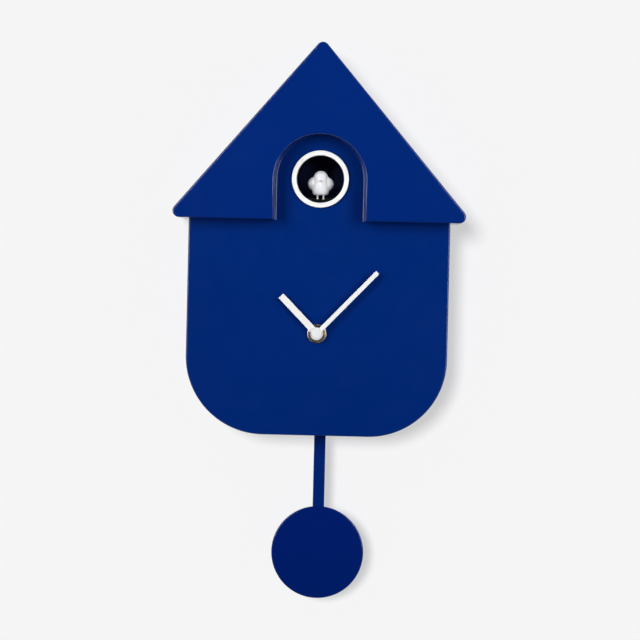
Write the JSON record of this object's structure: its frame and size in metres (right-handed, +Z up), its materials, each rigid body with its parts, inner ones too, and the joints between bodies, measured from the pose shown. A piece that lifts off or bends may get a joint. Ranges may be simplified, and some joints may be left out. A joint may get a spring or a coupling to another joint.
{
  "type": "cuckoo clock",
  "caption": "House-shaped wall clock in blue plastic with a round porthole, a bird that slides out, two bar hands and a pendulum.",
  "frame": {"origin": "centre of the hanging hole, on the wall plane at the back of the clock", "axes": "+Z up along the clock's height, +Y into the wall along the hanging hole, +X to the right seen from the front"},
  "size_m": [0.2124, 0.08, 0.4074],
  "materials": {
    "case_blue": "satin moulded plastic",
    "roof_blue": "satin moulded plastic",
    "back_blue": "fine grained moulded plastic",
    "door_blue": "fine grained moulded plastic",
    "rod_blue": "satin moulded plastic",
    "disc_blue": "satin moulded plastic",
    "white_plastic": "glossy moulded plastic",
    "black_plastic": "matt moulded plastic",
    "slide_black": "matt moulded plastic",
    "bird_white": "matt painted plastic",
    "bird_wing_white": "matt painted plastic",
    "beak_grey": "matt painted plastic",
    "leg_grey": "matt painted plastic",
    "screw_steel": "zinc plated",
    "motor_steel": "plated steel can",
    "movement_plastic": "natural moulded plastic",
    "gear_plastic": "natural low-friction plastic",
    "washer_rubber": "matt rubber",
    "brass": "turned brass",
    "nut_metal": "nickel-washed turned brass",
    "hand_white": "matt white paint",
    "cap_white": "white plastic",
    "arbor_steel": "polished steel",
    "magnet_grey": "sintered magnet",
    "stator_steel": "pressed steel",
    "copper_wire": "enamelled copper winding",
    "board_green": "coated circuit board",
    "knob_black": "matt moulded plastic",
    "cone_paper": "black paper",
    "switch_steel": "plated steel",
    "cell_wrap": "plain dark sleeve",
    "contact_steel": "nickel plated"
  },
  "bodies": {
    "clock": {"front_case": "case_blue", "roof_cover": "roof_blue", "back_cover": "back_blue", "porthole_ring": "white_plastic", "bird_tunnel": "black_plastic", "case_screws": "screw_steel", "roof_screws": "screw_steel", "tunnel_screws": "screw_steel", "bird_gearmotor": "motor_steel", "motor_screws": "screw_steel", "movement_front": "movement_plastic", "movement_back": "movement_plastic", "rubber_washer": "washer_rubber", "threaded_bushing": "brass", "fixing_nut": "nut_metal", "stator": "stator_steel", "drive_coil": "copper_wire", "circuit_board": "board_green", "hanger_pin": "arbor_steel", "pendulum_coil": "copper_wire", "speaker_frame": "stator_steel", "speaker_cone": "cone_paper", "speaker_magnet": "magnet_grey", "speaker_screws": "screw_steel", "sound_board": "board_green", "board_screws": "screw_steel", "switch_body": "switch_steel", "batteries": "cell_wrap", "battery_contacts": "contact_steel"},
    "minute_work": {"minute_hand": "hand_white", "hand_cap": "cap_white", "minute_arbor": "arbor_steel", "centre_wheel": "brass"},
    "hour_work": {"hour_hand": "hand_white", "hour_wheel": "gear_plastic"},
    "motion_work": {"motion_wheel": "gear_plastic"},
    "third_work": {"third_wheel": "brass"},
    "seconds_work": {"seconds_wheel": "gear_plastic"},
    "intermediate_work": {"intermediate_wheel": "gear_plastic"},
    "rotor_work": {"rotor": "magnet_grey"},
    "setting_work": {"setting_knob": "knob_black"},
    "bird": {"bird_carriage": "slide_black", "bird_body": "bird_white", "bird_wings": "bird_wing_white", "bird_beak": "beak_grey", "bird_legs": "leg_grey"},
    "bird_drive": {"carriage_pinion": "gear_plastic"},
    "pendulum": {"pendulum_hanger": "movement_plastic", "pendulum_magnet": "magnet_grey", "pendulum_rod": "rod_blue", "pendulum_disc": "disc_blue"},
    "door": {"battery_door": "door_blue"},
    "switch": {"sound_switch": "knob_black"}
  },
  "joints": [
    {"name": "minute_turn", "type": "hinge", "parent": "clock", "child": "minute_work", "pos_m": [0, -0.06, -0.1534], "axis": [0, 1, 0], "continuous": true},
    {"name": "hour_turn", "type": "hinge", "parent": "clock", "child": "hour_work", "pos_m": [0, -0.06, -0.1534], "axis": [0, 1, 0], "continuous": true},
    {"name": "motion_wheel_turn", "type": "hinge", "parent": "clock", "child": "motion_work", "pos_m": [-0.00707, -0.048, -0.16047], "axis": [0, 1, 0], "continuous": true},
    {"name": "third_wheel_turn", "type": "hinge", "parent": "clock", "child": "third_work", "pos_m": [0, -0.048, -0.14368], "axis": [0, 1, 0], "continuous": true},
    {"name": "seconds_wheel_turn", "type": "hinge", "parent": "clock", "child": "seconds_work", "pos_m": [0.00904, -0.048, -0.14527], "axis": [0, 1, 0], "continuous": true},
    {"name": "setting_knob_turn", "type": "hinge", "parent": "clock", "child": "setting_work", "pos_m": [-0.0145, -0.048, -0.1679], "axis": [0, 1, 0], "continuous": true},
    {"name": "intermediate_wheel_turn", "type": "hinge", "parent": "clock", "child": "intermediate_work", "pos_m": [0.01312, -0.048, -0.15234], "axis": [0, 1, 0], "continuous": true},
    {"name": "rotor_turn", "type": "hinge", "parent": "clock", "child": "rotor_work", "pos_m": [0.01312, -0.048, -0.15785], "axis": [0, 1, 0], "continuous": true},
    {"name": "bird_slide", "type": "slide", "parent": "clock", "child": "bird", "axis": [0, -1, 0], "range_m": [0, 0.028]},
    {"name": "pinion_turn", "type": "hinge", "parent": "clock", "child": "bird_drive", "pos_m": [0.01, -0.038, -0.056], "axis": [0, 0, 1], "range_deg": [0, 288]},
    {"name": "pendulum_swing", "type": "hinge", "parent": "clock", "child": "pendulum", "pos_m": [0.0036, -0.0363, -0.1334], "axis": [0, 1, 0], "range_deg": [-7, 7]},
    {"name": "battery_door_hinge", "type": "hinge", "parent": "clock", "child": "door", "pos_m": [0.0548, -0.0011, -0.19265], "axis": [-1, 0, 0], "range_deg": [0, 80]},
    {"name": "sound_switch_slide", "type": "slide", "parent": "clock", "child": "switch", "axis": [1, 0, 0], "range_m": [-0.0025, 0.0025]}
  ],
  "couplings": [
    {"joint": "hour_turn", "follows": "minute_turn", "ratio": 0.083333},
    {"joint": "motion_wheel_turn", "follows": "minute_turn", "ratio": -0.33333},
    {"joint": "setting_knob_turn", "follows": "minute_turn", "ratio": 0.83333},
    {"joint": "third_wheel_turn", "follows": "minute_turn", "ratio": -8},
    {"joint": "seconds_wheel_turn", "follows": "minute_turn", "ratio": 60},
    {"joint": "rotor_turn", "follows": "intermediate_wheel_turn", "ratio": -5},
    {"joint": "pinion_turn", "follows": "bird_slide", "rad_per_m": 178.57}
  ]
}
